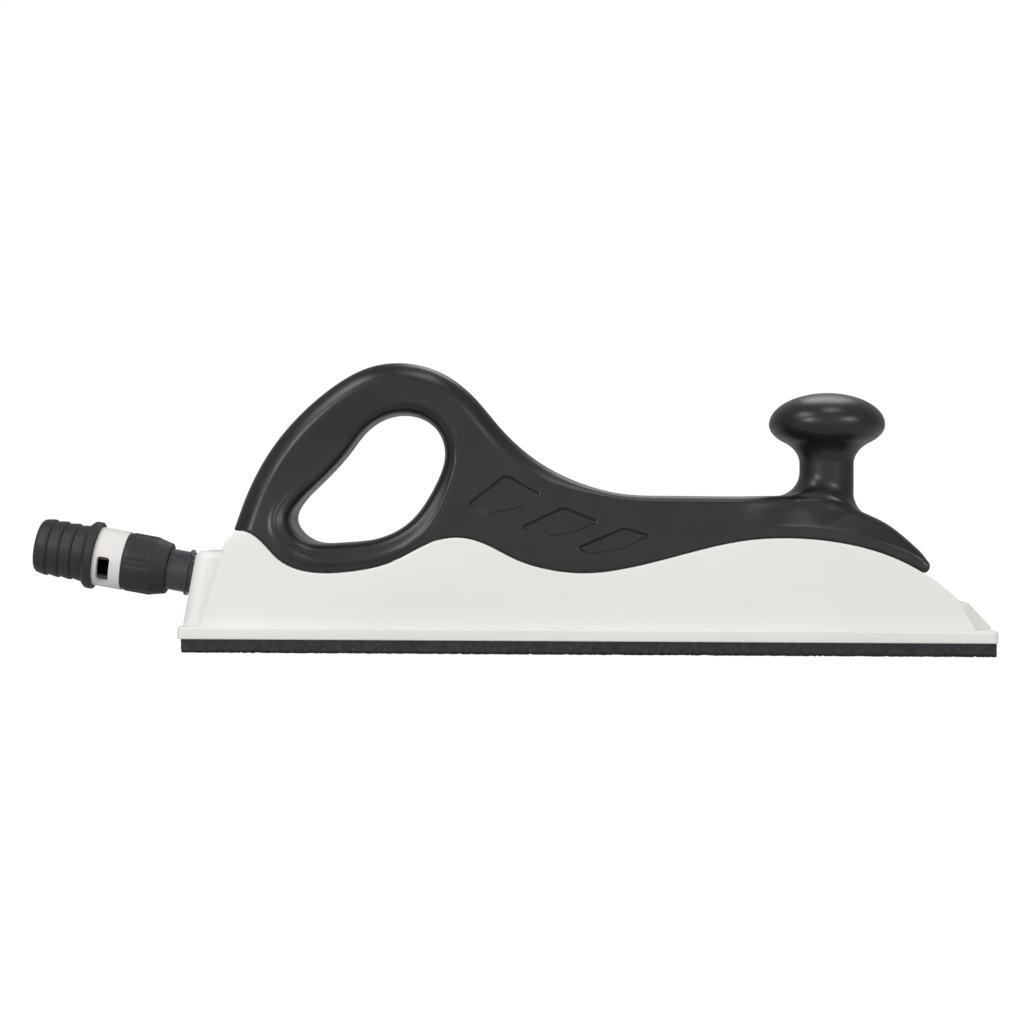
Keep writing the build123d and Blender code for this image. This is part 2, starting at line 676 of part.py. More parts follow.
with BuildPart() as tube_clip:
    turn(
        (CLIP_GROOVE_RADIUS, -PORT_BORE_LENGTH - RUNNING_GAP - CLIP_THICKNESS),
        (CLIP_RADIUS, -PORT_BORE_LENGTH - RUNNING_GAP - CLIP_THICKNESS),
        (CLIP_RADIUS, -PORT_BORE_LENGTH - RUNNING_GAP),
        (CLIP_GROOVE_RADIUS, -PORT_BORE_LENGTH - RUNNING_GAP),
    )
    with BuildSketch(PORT_PLANE):
        with Locations((CLIP_RADIUS, 0)):
            Rectangle(CLIP_RADIUS, 3)
    extrude(amount=TUBE_START, mode=Mode.SUBTRACT)
tube_clip.part.label = "tube_clip"

with BuildPart() as hose_cuff:
    barbs = []
    for number in range(BARB_COUNT):
        start = CUFF_FLANGE_END + number * BARB_PITCH
        barbs.append((BARB_RADIUS, start))
        barbs.append((BARB_ROOT_RADIUS, start + BARB_PITCH))
    barbs[-1] = (BARB_ROOT_RADIUS, CUFF_END - 1.2)
    turn(
        (SPIGOT_RADIUS + RUNNING_GAP / 2, CUFF_START),
        (CUFF_FLANGE_RADIUS, CUFF_START),
        (CUFF_FLANGE_RADIUS, CUFF_FLANGE_END - 1.8),
        (CUFF_FLANGE_RADIUS - 1.8, CUFF_FLANGE_END),
        *barbs,
        (BARB_ROOT_RADIUS - 1.2, CUFF_END),
        (CUFF_BORE_RADIUS, CUFF_END),
        (CUFF_BORE_RADIUS, SPIGOT_END + 0.1),
        (SPIGOT_RADIUS + RUNNING_GAP / 2, SPIGOT_END + 0.1),
    )
hose_cuff.part.label = "hose_cuff"

# Bleed regulator: a grip sleeve keyed to a ring whose window meets the window of the tube
with BuildPart() as regulator_sleeve:
    turn(
        (PORT_BORE_RADIUS, SLEEVE_START),
        (12.8, SLEEVE_START),
        (SLEEVE_RADIUS, SLEEVE_SHOULDER),
        (SLEEVE_RADIUS, SLEEVE_END - 0.1),
        (REGULATOR_BORE_RADIUS, SLEEVE_END - 0.1),
        (REGULATOR_BORE_RADIUS, BARREL_START - RUNNING_GAP),
        (PORT_BORE_RADIUS, BARREL_START - RUNNING_GAP),
    )
    with BuildSketch(PROFILE_PLANE):
        with Locations(((SLEEVE_RADIUS + RING_RADIUS) / 2 - 0.5, (SLEEVE_SHOULDER + SLEEVE_END) / 2)):
            Rectangle(RING_RADIUS - SLEEVE_RADIUS + 1, SLEEVE_END - SLEEVE_SHOULDER - 2.4)
    rib = extrude(amount=GRIP_RIB_WIDTH / 2, both=True, mode=Mode.PRIVATE)
    for number in range(GRIP_RIB_COUNT):
        add(rib.rotate(CONNECTOR_AXIS, GRIP_RIB_FIRST_ANGLE + number * 360 / GRIP_RIB_COUNT))
    turn(
        (KEY_RADIUS, SLEEVE_END - KEY_LENGTH),
        (REGULATOR_BORE_RADIUS, SLEEVE_END - KEY_LENGTH),
        (REGULATOR_BORE_RADIUS, SLEEVE_END + KEY_LENGTH),
        (KEY_RADIUS, SLEEVE_END + KEY_LENGTH),
    )
regulator_sleeve.part.label = "regulator_sleeve"

with BuildPart() as bleed_ring:
    turn(
        (KEY_RADIUS + 0.05, SLEEVE_END),
        (RING_RADIUS, SLEEVE_END),
        (RING_RADIUS, RING_END),
        (SPIGOT_RADIUS + RUNNING_GAP, RING_END),
        (SPIGOT_RADIUS + RUNNING_GAP, BARREL_END + RUNNING_GAP),
        (REGULATOR_BORE_RADIUS, BARREL_END + RUNNING_GAP),
        (REGULATOR_BORE_RADIUS, SLEEVE_END + KEY_LENGTH + 0.05),
        (KEY_RADIUS + 0.05, SLEEVE_END + KEY_LENGTH + 0.05),
    )
    bleed_window(BARREL_RADIUS - 1, RING_RADIUS + 1, RING_WINDOW_ARC, RING_WINDOW_FIRST_ANGLE)
bleed_ring.part.label = "bleed_ring"

with BuildPart() as regulator_o_ring:
    turn(
        (O_RING_SEAT_RADIUS, O_RING_START + 0.1),
        (REGULATOR_BORE_RADIUS - 0.05, O_RING_START + 0.1),
        (REGULATOR_BORE_RADIUS - 0.05, O_RING_START + O_RING_WIDTH - 0.1),
        (O_RING_SEAT_RADIUS, O_RING_START + O_RING_WIDTH - 0.1),
    )
regulator_o_ring.part.label = "regulator_o_ring"

os.makedirs("parts", exist_ok=True)
PIECES = [
    hook_layer,
    foam_pad,
    base_plate,
    plate_gasket,
    plate_screws,
    housing,
    handle_left,
    handle_right,
    handle_clamp_screws,
    handle_mount_screws,
    port_seal,
    swivel_tube,
    tube_clip,
    hose_cuff,
    regulator_o_ring,
    regulator_sleeve,
    bleed_ring,
]
for piece in PIECES:
    export_step(piece.part, "parts/" + piece.part.label + ".step")
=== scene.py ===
"""Sanding block with dust extraction: pieces, materials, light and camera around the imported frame."""

import bmesh
import bpy
import numpy as np
from math import cos, pi, radians, sin
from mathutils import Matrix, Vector
from mathutils.geometry import delaunay_2d_cdt


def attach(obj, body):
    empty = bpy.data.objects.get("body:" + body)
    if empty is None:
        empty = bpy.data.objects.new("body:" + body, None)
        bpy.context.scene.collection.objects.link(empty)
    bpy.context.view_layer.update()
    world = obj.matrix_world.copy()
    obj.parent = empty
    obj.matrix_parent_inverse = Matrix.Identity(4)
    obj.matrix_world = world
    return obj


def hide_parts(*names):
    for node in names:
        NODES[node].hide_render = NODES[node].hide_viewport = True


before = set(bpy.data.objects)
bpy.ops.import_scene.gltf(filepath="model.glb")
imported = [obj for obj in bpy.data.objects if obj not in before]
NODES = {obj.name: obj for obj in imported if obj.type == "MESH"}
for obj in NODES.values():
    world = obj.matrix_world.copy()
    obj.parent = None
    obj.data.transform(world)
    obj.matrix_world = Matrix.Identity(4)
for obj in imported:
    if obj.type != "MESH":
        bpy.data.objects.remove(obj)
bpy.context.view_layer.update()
MM = 0.001

# ---------------------------------------------------------------- outlines, in millimetres (x, z)
CREST = [
    (-180.6, 48.7), (-178.2, 55.8), (-171.5, 59.5), (-165.6, 57.5), (-153.1, 45.6), (-142.5, 40.5),
    (-131.0, 39.1), (-115.0, 40.3), (-98.0, 44.5), (-79.0, 54.0), (-65.5, 57.0), (-53.5, 54.7),
    (-36.0, 46.3), (-20.0, 41.5), (-2.0, 39.8), (20.0, 42.6), (53.6, 51.2), (76.0, 56.1),
    (98.0, 57.6), (125.0, 55.3), (148.0, 49.2), (168.0, 39.0), (182.0, 27.8),
]
SPINE = [
    (-176.4, 60.4), (-172.0, 74.6), (-165.6, 89.7), (-156.2, 104.9), (-142.7, 120.2), (-127.2, 133.1),
    (-109.3, 142.4), (-92.1, 144.2), (-73.5, 139.3), (-56.9, 126.8), (-44.4, 112.3), (-24.2, 94.6),
    (-3.8, 84.4), (16.7, 79.2), (40.0, 78.3), (80.0, 78.3), (112.0, 78.2), (126.0, 75.6), (137.3, 70.7),
    (147.8, 65.6), (156.0, 59.4), (161.9, 53.9), (164.9, 50.8), (167.2, 47.6),
]
LOOP = [
    (-148.3, 64.9), (-144.3, 74.3), (-136.8, 82.2), (-128.7, 90.3), (-120.6, 99.7), (-112.6, 110.0),
    (-104.9, 115.8), (-93.2, 118.7), (-81.3, 115.4), (-73.4, 106.2), (-71.9, 98.0), (-75.3, 85.6),
    (-80.2, 76.0), (-88.2, 65.4), (-96.8, 59.3), (-109.0, 55.3), (-125.3, 53.6), (-137.8, 54.1),
    (-145.0, 58.6),
]
PANELS = [
    [(-41.3, 88.6), (-23.5, 78.5), (-34.0, 72.0), (-49.5, 68.3), (-61.1, 73.1)],
    [(-12.6, 72.5), (5.1, 65.4), (-6.0, 60.0), (-21.6, 57.1), (-34.3, 62.3)],
    [(17.4, 62.6), (31.0, 58.6), (17.5, 52.0), (-0.2, 48.6), (-6.4, 52.3)],
]
SIDE_Z = [30.0, 46.0, 58.0, 73.0, 88.0, 103.0, 130.0, 160.0]
SIDE_Y = [28.0, 28.0, 26.6, 23.0, 19.4, 18.0, 18.0, 18.0]
SEAM = 0.2

# ---------------------------------------------------------------- handle sizes, in millimetres
KNOB = (121.4, 115.0)
KNOB_RADIUS = 29.1
KNOB_RISE = 16.0
KNOB_DROP = 13.4
NECK_RADIUS = 13.6
NECK_FOOT = 58
NECK_FILLET = 7.5
CLAMPS = [(-160.5, 71), (-92, 132.4), (-50, 97), (45, 63), (KNOB[0], 92), (151, 55.5)]
CLAMP_SEAT_RADIUS = 3.9
CLAMP_SEAT_Y = 8.0
PARTING_GAP = 0.03
PARTING_EDGE = 0.45
RIDGE_REAR = 8.9
RIDGE_FRONT = 3.0
LOOP_CENTRE = (-110, 86)
LOOP_RIM = 5.9
LOOP_RIM_EXTRA = 3.0
LOOP_EDGE = 4.2
CREASE_HEIGHT = 5.3
PANEL_CORNER = 2.4
PANEL_DEPTH = 1.5
PANEL_SLOPE = 0.7

# ---------------------------------------------------------------- hose connector sizes: radii and distances
TILT = radians(10)
PORT = np.array([-197.6, 0.0, 37.5])
OUT = np.array([-cos(TILT), 0.0, sin(TILT)])
UP = np.array([sin(TILT), 0.0, cos(TILT)])
SIDE = np.array([0.0, -1.0, 0.0])
GAP = 0.08
TUBE_RADIUS = 10.4
TUBE_BORE = 9.0
RUNNING_BORE = TUBE_RADIUS + GAP
BARREL_RADIUS = 11.9
SLEEVE_RADIUS = 14.4
WINDOW_START = 42.1
WINDOW_END = 48.5
WINDOW_CORNER = 1.6
WINDOW_MIDDLE_RADIUS = 13.0
BARB_PITCH = 6.1
BARB_COUNT = 4
RIB_PITCH = radians(36)
RIB_FIRST = radians(107)
RIB_HEIGHT = 0.5
RIB_ROOT = 13.2


# ---------------------------------------------------------------- curves and distances
def spline(points, step=0.8, closed=False):
    """Samples a cubic spline through points, parametrised by chord length."""
    p = np.array(points, dtype=float)
    if closed:
        p = np.vstack([p[-3:], p, p[:4]])
    t = np.concatenate([[0], np.cumsum(np.sqrt(((p[1:] - p[:-1]) ** 2).sum(1)))])
    n = len(p)
    h = np.diff(t)
    a = np.eye(n)
    rhs = np.zeros((n, 2))
    for i in range(1, n - 1):
        a[i, i - 1:i + 2] = h[i - 1], 2 * (h[i - 1] + h[i]), h[i]
        rhs[i] = 6 * ((p[i + 1] - p[i]) / h[i] - (p[i] - p[i - 1]) / h[i - 1])
    m = np.linalg.solve(a, rhs)
    lo, hi = (t[3], t[n - 4]) if closed else (t[0], t[-1])
    u = np.linspace(lo, hi, int((hi - lo) / step) + 2)
    if closed:
        u = u[:-1]
    k = np.clip(np.searchsorted(t, u, side="right") - 1, 0, n - 2)
    b = (u - t[k])[:, None]
    c = (t[k + 1] - u)[:, None]
    w = h[k][:, None]
    return (m[k] * c ** 3 + m[k + 1] * b ** 3) / (6 * w) + (p[k] / w - m[k] * w / 6) * c + (
        p[k + 1] / w - m[k + 1] * w / 6) * b


def distance(px, pz, line, closed=True):
    """Distance of points to a polyline, and whether they lie inside it."""
    line = np.asarray(line)
    nxt = np.roll(line, -1, axis=0) if closed else line[1:]
    cur = line if closed else line[:-1]
    best = np.full(px.shape, 1e9)
    inside = np.zeros(px.shape, dtype=bool)
    for (x0, z0), (x1, z1) in zip(cur, nxt):
        dx, dz = x1 - x0, z1 - z0
        t = np.clip(((px - x0) * dx + (pz - z0) * dz) / (dx * dx + dz * dz + 1e-12), 0, 1)
        best = np.minimum(best, (px - x0 - t * dx) ** 2 + (pz - z0 - t * dz) ** 2)
        if closed and abs(dz) > 1e-12:
            crosses = (z0 > pz) != (z1 > pz)
            inside ^= crosses & (px < dx * (pz - z0) / dz + x0)
    return np.sqrt(best), inside


def signed(px, pz, line):
    """Signed distance to a closed outline, negative inside."""
    d, inside = distance(px, pz, line)
    return np.where(inside, -d, d)


def soft_plus(value, width):
    """The positive part of a value, with the corner at zero rounded."""
    return 0.5 * (value + np.sqrt(value ** 2 + width ** 2))


def ramp(value, low, high):
    """Smooth step from 0 at low to 1 at high."""
    t = np.clip((value - low) / (high - low), 0, 1)
    return t * t * (3 - 2 * t)


# ---------------------------------------------------------------- handle as an implicit solid
crest_line = spline(CREST)
foot_line = crest_line[(crest_line[:, 0] > -171.4) & (crest_line[:, 0] < 165.7)] + [0, SEAM]
spine_line = spline(SPINE)
loop_line = spline(LOOP, closed=True)
nose = [(168.1, 45.6), (168.2, 44.2), (167.9, 42.8), (167.1, 41.7)]
handle_line = np.vstack([spine_line, nose, foot_line[::-1], [(-172.6, 59.6), (-175.4, 59.7)]])

FIELD_STEP = 0.5
FIELD_X = np.arange(-184.0, 180.0, FIELD_STEP)
FIELD_Z = np.arange(34.0, 150.0, FIELD_STEP)
gx, gz = np.meshgrid(FIELD_X, FIELD_Z, indexing="ij")


def rounded_polygon(corners, radius):
    """Replaces each corner of a polygon with an arc."""
    result = []
    count = len(corners)
    for i in range(count):
        here = np.array(corners[i], dtype=float)
        before = np.array(corners[i - 1]) - here
        after = np.array(corners[(i + 1) % count]) - here
        reach = min(radius, 0.45 * np.hypot(*before), 0.45 * np.hypot(*after))
        start = here + before / np.hypot(*before) * reach
        end = here + after / np.hypot(*after) * reach
        for t in np.linspace(0, 1, 7):
            result.append((1 - t) ** 2 * start + 2 * t * (1 - t) * here + t * t * end)
    return np.array(result)


def side_line():
    """Half width of the handle by height, with the corners of the side line smoothed."""
    kernel = np.hanning(25)
    kernel /= kernel.sum()
    column = np.convolve(np.pad(np.interp(FIELD_Z, SIDE_Z, SIDE_Y), 12, mode="edge"), kernel, "valid")
    return np.broadcast_to(column[None, :], gx.shape).copy()


def shape_spine(width, spine_d, foot_d):
    """A ridge some way in from the spine, falling to the outline. The grip leans from it to the loop."""
    along = ramp(gx, -45, 15)
    ridge = RIDGE_REAR * (1 - along) + RIDGE_FRONT * along
    fall = soft_plus(ridge - spine_d, 0.8)
    width -= (0.24 * fall + 0.065 * fall ** 2) * (1 - along) + (0.34 * fall + 0.12 * fall ** 2) * along
    grip = 1 - ramp(gx + 0.45 * (gz - 100), -112, -58)
    inner = np.clip(spine_d - ridge, 0, 16)
    width -= grip * 0.17 * inner * ramp(foot_d, 10, 34)


def shape_loop(width, hole):
    """A rim round the loop, and a round edge towards the hole."""
    angle = np.arctan2(gz - LOOP_CENTRE[1], gx - LOOP_CENTRE[0])
    low_side = ramp(-np.sin(angle), -0.2, 0.7)
    rim = LOOP_RIM + LOOP_RIM_EXTRA * low_side
    rim_on = 1 - ramp(np.cos(angle - radians(128)), 0.15, 0.75)
    inwards = np.maximum(rim - hole, 0)
    width -= rim_on * 0.38 * inwards
    width += rim_on * 0.55 * np.exp(-((hole - rim) / 1.5) ** 2)
    near = np.minimum(np.maximum(LOOP_EDGE - hole, 0), 4.15)
    width -= LOOP_EDGE - np.sqrt(np.maximum(LOOP_EDGE ** 2 - near ** 2, 0))


def shape_front(width, foot_d):
    """A crease above the foot of the front end, with the side leaning in above it."""
    front = ramp(gx, 74, 106)
    width -= front * 0.42 * np.maximum(foot_d - CREASE_HEIGHT, 0) * (1 - 0.5 * ramp(foot_d, 14, 26))
    width += front * 0.25 * np.exp(-((foot_d - CREASE_HEIGHT) / 0.8) ** 2)


def make_fields():
    """Side-view fields of the handle: signed distance to the outline, half width, and radius of the edge."""
    body = signed(gx, gz, handle_line)
    hole = signed(gx, gz, loop_line)
    spine_d, _ = distance(gx, gz, spine_line, closed=False)
    foot_d, _ = distance(gx, gz, foot_line, closed=False)
    width = side_line()
    shape_spine(width, spine_d, foot_d)
    shape_loop(width, hole)
    shape_front(width, foot_d)
    for corners in PANELS:
        panel = signed(gx, gz, rounded_polygon(corners, PANEL_CORNER))
        width -= PANEL_DEPTH * ramp(-panel, 0.0, PANEL_SLOPE)
    solid = np.maximum(body, -hole)
    edge = 0.7 + 1.5 * ramp(foot_d, 2, 9)
    return solid, width, edge


FIELD_SOLID, FIELD_WIDTH, FIELD_EDGE = make_fields()


def sample(field, x, z):
    """Bicubic lookup of a side-view field."""
    u = np.clip((x - FIELD_X[0]) / FIELD_STEP, 1, len(FIELD_X) - 3.001)
    v = np.clip((z - FIELD_Z[0]) / FIELD_STEP, 1, len(FIELD_Z) - 3.001)
    i = u.astype(int)
    j = v.astype(int)
    fu = u - i
    fv = v - j

    def weights(f):
        return (
            -0.5 * f + f ** 2 - 0.5 * f ** 3,
            1 - 2.5 * f ** 2 + 1.5 * f ** 3,
            0.5 * f + 2 * f ** 2 - 1.5 * f ** 3,
            -0.5 * f ** 2 + 0.5 * f ** 3,
        )

    wu = weights(fu)
    wv = weights(fv)
    total = 0
    for a in range(4):
        for b in range(4):
            total = total + wu[a] * wv[b] * field[i + a - 1, j + b - 1]
    return total


def round_max(a, b, r):
    """Intersection of two solids with a rounded edge."""
    u = np.maximum(a + r, 0)
    v = np.maximum(b + r, 0)
    return np.minimum(np.maximum(a, b), -r) + np.hypot(u, v)


def round_min(a, b, r):
    """Union of two solids with a filleted corner."""
    u = np.maximum(r - a, 0)
    v = np.maximum(r - b, 0)
    return np.maximum(np.minimum(a, b), r) - np.hypot(u, v)


def knob_solid(x, y, z):
    """Knob and neck, turned about the knob's axis."""
    r = np.hypot(x - KNOB[0], y)
    dz = z - KNOB[1]
    tall = np.where(dz > 0, KNOB_RISE, KNOB_DROP)
    k0 = np.sqrt((r / KNOB_RADIUS) ** 2 + (dz / tall) ** 2)
    k1 = np.sqrt((r / KNOB_RADIUS ** 2) ** 2 + (dz / tall ** 2) ** 2) + 1e-9
    head = k0 * (k0 - 1) / k1
    neck = np.maximum(r - NECK_RADIUS, dz + 4)
    neck = np.maximum(neck, NECK_FOOT - z)
    return round_min(head, neck, NECK_FILLET)


def handle_solid(x, y, z, solid, width, edge, side):
    """The outside of one handle shell. side is -1 for the right shell and 1 for the left one."""
    body = round_max(solid, np.abs(y) - width, edge)
    fillet = 12.5 - 5.0 * ramp(x, 112, 130)
    near = ramp(x, 84, 92)
    both = round_min(body, knob_solid(x, y, z), fillet)
    whole = np.where(near > 0, both, body)
    if side > 0:
        for cx, cz in CLAMPS:
            seat = np.maximum(np.hypot(x - cx, z - cz) - CLAMP_SEAT_RADIUS, CLAMP_SEAT_Y - y)
            whole = round_max(whole, -seat, 0.5)
    return round_max(whole, -side * y + PARTING_GAP, PARTING_EDGE)


def surface_net(value, grid, side):
    """Vertices and quads where a sampled solid changes sign, one vertex in each cell that it crosses."""
    cells = np.array(value.shape) - 1
    total = np.zeros((cells.prod(), 3))
    count = np.zeros(cells.prod())
    quads = []
    for axis in range(3):
        lo = [slice(None)] * 3
        hi = [slice(None)] * 3
        lo[axis] = slice(0, -1)
        hi[axis] = slice(1, None)
        f0 = value[tuple(lo)]
        f1 = value[tuple(hi)]
        change = (f0 < 0) != (f1 < 0)
        index = np.argwhere(change)
        a = f0[change]
        b = f1[change]
        t = a / (a - b)
        point = np.stack([grid[k][index[:, k]] for k in range(3)], 1).astype(float)
        point[:, axis] += t * (grid[axis][index[:, axis] + 1] - point[:, axis])
        other = [k for k in range(3) if k != axis]
        ring = []
        ok = np.ones(len(index), dtype=bool)
        for da, db in ((0, 0), (1, 0), (1, 1), (0, 1)):
            cell = index.copy()
            cell[:, other[0]] -= da
            cell[:, other[1]] -= db
            ok &= ((cell >= 0) & (cell < cells)).all(1)
            ring.append(cell)
        ids = []
        for cell in ring:
            flat = (cell[:, 0] * cells[1] + cell[:, 1]) * cells[2] + cell[:, 2]
            flat = np.where(ok, flat, 0)
            np.add.at(total, flat[ok], point[ok])
            np.add.at(count, flat[ok], 1)
            ids.append(flat)
        quad = np.stack(ids, 1)[ok]
        flip = (a >= 0)[ok]
        if axis == 1:
            flip = ~flip
        if side < 0:
            flip = ~flip
        quad[flip] = quad[flip][:, ::-1]
        quads.append(quad)
    used = np.nonzero(count)[0]
    remap = np.full(len(count), -1)
    remap[used] = np.arange(len(used))
    return total[used] / count[used][:, None], remap[np.vstack(quads)]


def pulled_to(surface, p, rounds=3, reach=0.12, longest=0.4):
    """Moves points onto the surface where a function of them is zero, by short steps along its slope."""
    for _ in range(rounds):
        f = surface(p)
        g = np.zeros_like(p)
        for k in range(3):
            e = np.zeros(3)
            e[k] = reach
            g[:, k] = (surface(p + e) - surface(p - e)) / (2 * reach)
        step_back = (f / np.maximum((g ** 2).sum(1), 0.2))[:, None] * g
        long = np.sqrt((step_back ** 2).sum(1))
        p = p - step_back * np.minimum(1, longest / np.maximum(long, 1e-9))[:, None]
    return p


def grow_shell(name, side, step=0.86):
    """Meshes one handle shell."""
    xs = np.arange(-182.0, 177.5, step)
    ys = np.concatenate([[-0.5, -0.12, 0.14, 0.36, 0.62, 1.1], np.arange(1.8, 31.5, step)]) * side
    zs = np.arange(36.5, 148.5, step)
    x, y, z = np.meshgrid(xs, ys, zs, indexing="ij")
    sx, sz = np.meshgrid(xs, zs, indexing="ij")
    fields = [sample(f, sx, sz)[:, None, :] for f in (FIELD_SOLID, FIELD_WIDTH, FIELD_EDGE)]
    points, faces = surface_net(handle_solid(x, y, z, *fields, side), (xs, ys, zs), side)

    def surface(q):
        here = [sample(f, q[:, 0], q[:, 2]) for f in (FIELD_SOLID, FIELD_WIDTH, FIELD_EDGE)]
        return handle_solid(q[:, 0], q[:, 1], q[:, 2], *here, side)

    return mesh_object(name, pulled_to(surface, points) * MM, faces.tolist())


# ---------------------------------------------------------------- mesh helpers
def mesh_object(name, verts, faces, smooth=True):
    """Links a new mesh object."""
    mesh = bpy.data.meshes.new(name)
    mesh.from_pydata([tuple(v) for v in verts], [], faces)
    mesh.validate()
    mesh.update()
    obj = bpy.data.objects.new(name, mesh)
    bpy.context.scene.collection.objects.link(obj)
    if smooth:
        mesh.shade_smooth()
    return obj


def applied(obj):
    """Bakes an object's modifiers into its mesh."""
    graph = bpy.context.evaluated_depsgraph_get()
    graph.update()
    mesh = bpy.data.meshes.new_from_object(obj.evaluated_get(graph))
    obj.modifiers.clear()
    old = obj.data
    obj.data = mesh
    mesh.name = obj.name
    bpy.data.meshes.remove(old)
    return obj


def cut(obj, cutter):
    """Subtracts one mesh from another."""
    mod = obj.modifiers.new("cut", "BOOLEAN")
    mod.operation = "DIFFERENCE"
    mod.solver = "EXACT"
    mod.object = cutter
    applied(obj)
    bpy.data.objects.remove(cutter)
    return obj


def smooth_by_angle(obj, degrees):
    """Smooth shading with sharp edges above an angle."""
    mesh = obj.data
    mesh.shade_smooth()
    bm = bmesh.new()
    bm.from_mesh(mesh)
    for edge in bm.edges:
        edge.smooth = len(edge.link_faces) == 2 and edge.calc_face_angle(0) < radians(degrees)
    bm.to_mesh(mesh)
    bm.free()


def facing_out(obj):
    """Turns the faces of a closed mesh outwards."""
    bm = bmesh.new()
    bm.from_mesh(obj.data)
    bmesh.ops.recalc_face_normals(bm, faces=bm.faces)
    bm.to_mesh(obj.data)
    bm.free()


def dense(points, spacing):
    """Adds points along a closed outline so that no run is longer than the spacing."""
    result = []
    points = np.asarray(points, dtype=float)
    for a, b in zip(points, np.roll(points, -1, axis=0)):
        parts = max(1, int(np.ceil(np.hypot(*(b - a)) / spacing)))
        for k in range(parts):
            result.append(a + (b - a) * k / parts)
    return np.array(result)


def about_port(r, w, angle):
    """A point of the hose connector: radius, distance out from the port, angle from the top towards -Y."""
    return PORT + w * OUT + r * (cos(angle) * UP + sin(angle) * SIDE)


def lathe(name, profile, segments=144, lift=None):
    """Turns a closed profile of (radius, distance out) about the connector's axis."""
    verts = []
    faces = []
    count = len(profile)
    for k in range(segments):
        angle = 2 * pi * k / segments
        for r, w in profile:
            extra = lift(r, w, angle) if lift else 0
            verts.append(about_port(r + extra, w, angle) * MM)
    for k in range(segments):
        nxt = (k + 1) % segments
        for i in range(count):
            j = (i + 1) % count
            faces.append((k * count + i, nxt * count + i, nxt * count + j, k * count + j))
    obj = mesh_object(name, verts, faces)
    facing_out(obj)
    smooth_by_angle(obj, 32)
    return obj


def window_cutter(inner, outer, first, last):
    """A curved block with rounded corners, where the bleed window is, between two angles in degrees."""
    middle = WINDOW_MIDDLE_RADIUS
    low, high = radians(first) * middle, radians(last) * middle
    corners = [(low, WINDOW_START), (high, WINDOW_START), (high, WINDOW_END), (low, WINDOW_END)]
    outline = dense(rounded_polygon(corners, WINDOW_CORNER), 0.5)
    verts = []
    for radius in (inner, outer):
        for a, w in outline:
            verts.append(about_port(radius, w, a / middle) * MM)
    n = len(outline)
    centre = outline.mean(0)
    for radius in (inner, outer):
        verts.append(about_port(radius, centre[1], centre[0] / middle) * MM)
    faces = []
    for i in range(n):
        j = (i + 1) % n
        faces.append((i, j, n + j, n + i))
        faces.append((2 * n, j, i))
        faces.append((2 * n + 1, n + i, n + j))
    obj = mesh_object("cutter", verts, faces)
    facing_out(obj)
    return obj


def plate(name, outline, holes, levels, jitter=None):
    """A flat piece with holes: a plan outline in mm at several heights, with an optional uneven edge."""
    rings = [np.asarray(outline, dtype=float)] + [np.asarray(h, dtype=float) for h in holes]
    flat = [Vector(q) for ring in rings for q in ring]
    edges = []
    start = 0
    for ring in rings:
        n = len(ring)
        edges += [(start + i, start + (i + 1) % n) for i in range(n)]
        start += n
    result = delaunay_2d_cdt(flat, edges, [], 2, 1e-7)
    plan, tris, origin = result[0], result[2], result[3]
    back = [o[0] if o else -1 for o in origin]
    middle = np.array([[sum(plan[i][k] for i in tri) / len(tri) for k in (0, 1)] for tri in tris])
    open_here = np.zeros(len(tris), dtype=bool)
    for hole in rings[1:]:
        centre = hole.mean(0)
        open_here |= np.hypot(*(middle - centre).T) < np.hypot(*(hole[0] - centre))
    keep = [[back[i] for i in tri] for tri, skip in zip(tris, open_here) if not skip]
    n = len(flat)
    verts = []
    for level, z in enumerate(levels):
        for i, q in enumerate(flat):
            dx, dy, dz = jitter(i, q, level) if jitter and i < len(rings[0]) else (0, 0, 0)
            verts.append(((q.x + dx) * MM, (q.y + dy) * MM, (z + dz) * MM))
    faces = [tri[::-1] for tri in keep]
    top = (len(levels) - 1) * n
    faces += [[top + i for i in tri] for tri in keep]
    for level in range(len(levels) - 1):
        for a, b in edges:
            faces.append((level * n + a, level * n + b, (level + 1) * n + b, (level + 1) * n + a))
    obj = mesh_object(name, verts, faces)
    facing_out(obj)
    smooth_by_angle(obj, 40)
    return obj


# ---------------------------------------------------------------- materials
def linear(value):
    """sRGB 0-255 to linear."""
    value /= 255
    return value / 12.92 if value <= 0.04045 else ((value + 0.055) / 1.055) ** 2.4


def rgb(r, g, b):
    """An sRGB colour, 0-255, as a linear colour with full alpha."""
    return (linear(r), linear(g), linear(b), 1)


